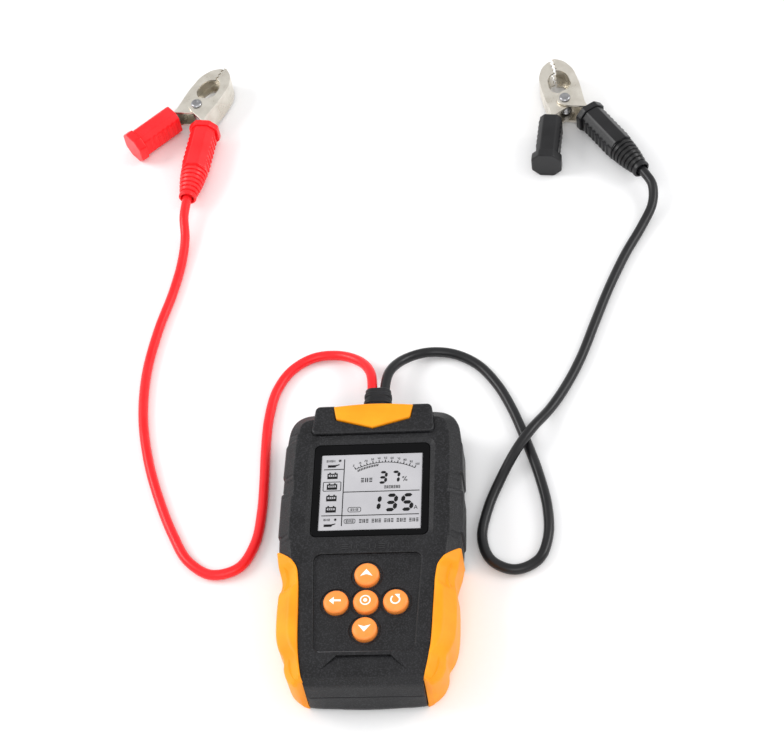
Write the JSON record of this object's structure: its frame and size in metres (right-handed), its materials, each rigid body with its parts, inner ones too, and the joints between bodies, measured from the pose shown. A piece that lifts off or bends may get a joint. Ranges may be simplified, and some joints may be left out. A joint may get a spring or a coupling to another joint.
{
  "type": "battery tester",
  "caption": "Handheld battery tester with a window display, a five-key pad, side grips and two test leads that end in spring clamps.",
  "frame": {"origin": "under the middle of the case and its lead gland, on the surface that the back lies on", "axes": "+Z out of the face, +Y along the case to the end that the leads leave, +X to the right when the display is read"},
  "size_m": [0.2903, 0.3835, 0.0296],
  "materials": {
    "case_plastic": "spark-eroded matte charcoal",
    "grip_rubber": "satin orange overmould",
    "button_plastic": "satin orange with white marks",
    "display_window": "polished black border",
    "display_panel": "light grey liquid crystal with black marks",
    "display_ink": "black display segments",
    "mark_white": "white printed marks",
    "inner_white": "moulded white",
    "silicone": "soft grey",
    "circuit_board": "green solder mask",
    "component_black": "moulded black",
    "resistor_body": "cement white",
    "aluminium": "satin",
    "steel": "zinc plated",
    "gland_rubber": "soft black",
    "jaw_nickel": "nickel plated",
    "pvc_red": "semi-gloss red",
    "pvc_black": "semi-gloss black"
  },
  "bodies": {
    "root": {"black_clamp_spring": "steel", "black_crimp_sleeve": "steel", "black_fixed_jaw": "jaw_nickel", "black_inner_wire": "pvc_black", "black_lead": "pvc_black", "black_lead_handle": "pvc_black", "black_pivot_rivet": "steel", "buzzer": "component_black", "case_screw_1": "steel", "case_screw_2": "steel", "case_screw_3": "steel", "case_screw_4": "steel", "display_carrier": "inner_white", "display_lens": "display_window", "display_panel": "display_panel", "front_shell": "case_plastic", "heat_sink": "aluminium", "keypad_mat": "silicone", "lead_gland": "gland_rubber", "left_grip": "grip_rubber", "load_resistor": "resistor_body", "main_board": "circuit_board", "main_chip": "component_black", "power_transistor": "component_black", "rear_shell": "case_plastic", "red_clamp_spring": "steel", "red_crimp_sleeve": "steel", "red_fixed_jaw": "jaw_nickel", "red_inner_wire": "pvc_red", "red_lead": "pvc_red", "red_lead_handle": "pvc_red", "red_pivot_rivet": "steel", "right_grip": "grip_rubber", "smoothing_capacitor": "aluminium", "switch_down": "steel", "switch_enter": "steel", "switch_escape": "steel", "switch_reset": "steel", "switch_up": "steel", "top_cover": "case_plastic", "top_tab": "grip_rubber"},
    "button_up": {"button_up": "button_plastic"},
    "button_enter": {"button_enter": "button_plastic"},
    "button_down": {"button_down": "button_plastic"},
    "button_escape": {"button_escape": "button_plastic"},
    "button_reset": {"button_reset": "button_plastic"},
    "red_free_half": {"red_moving_jaw": "jaw_nickel", "red_free_handle": "pvc_red"},
    "black_free_half": {"black_moving_jaw": "jaw_nickel", "black_free_handle": "pvc_black"}
  },
  "joints": [
    {"name": "button_up_press", "type": "slide", "parent": "root", "child": "button_up", "axis": [0, 0, -1], "range_m": [0, 0.0009], "stiffness_N_per_m": 1500, "springref_m": -0.0003},
    {"name": "button_enter_press", "type": "slide", "parent": "root", "child": "button_enter", "axis": [0, 0, -1], "range_m": [0, 0.0009], "stiffness_N_per_m": 1500, "springref_m": -0.0003},
    {"name": "button_down_press", "type": "slide", "parent": "root", "child": "button_down", "axis": [0, 0, -1], "range_m": [0, 0.0009], "stiffness_N_per_m": 1500, "springref_m": -0.0003},
    {"name": "button_escape_press", "type": "slide", "parent": "root", "child": "button_escape", "axis": [0, 0, -1], "range_m": [0, 0.0009], "stiffness_N_per_m": 1500, "springref_m": -0.0003},
    {"name": "button_reset_press", "type": "slide", "parent": "root", "child": "button_reset", "axis": [0, 0, -1], "range_m": [0, 0.0009], "stiffness_N_per_m": 1500, "springref_m": -0.0003},
    {"name": "red_clamp_open", "type": "hinge", "parent": "root", "child": "red_free_half", "pos_m": [-0.108, 0.275, 0.0085], "axis": [0, 0, 1], "range_deg": [0, 26], "stiffness_Nm_per_rad": 0.3, "springref_deg": -28.65},
    {"name": "black_clamp_open", "type": "hinge", "parent": "root", "child": "black_free_half", "pos_m": [0.095, 0.266, 0.0085], "axis": [0, 0, 1], "range_deg": [0, 26], "stiffness_Nm_per_rad": 0.3, "springref_deg": -28.65}
  ]
}
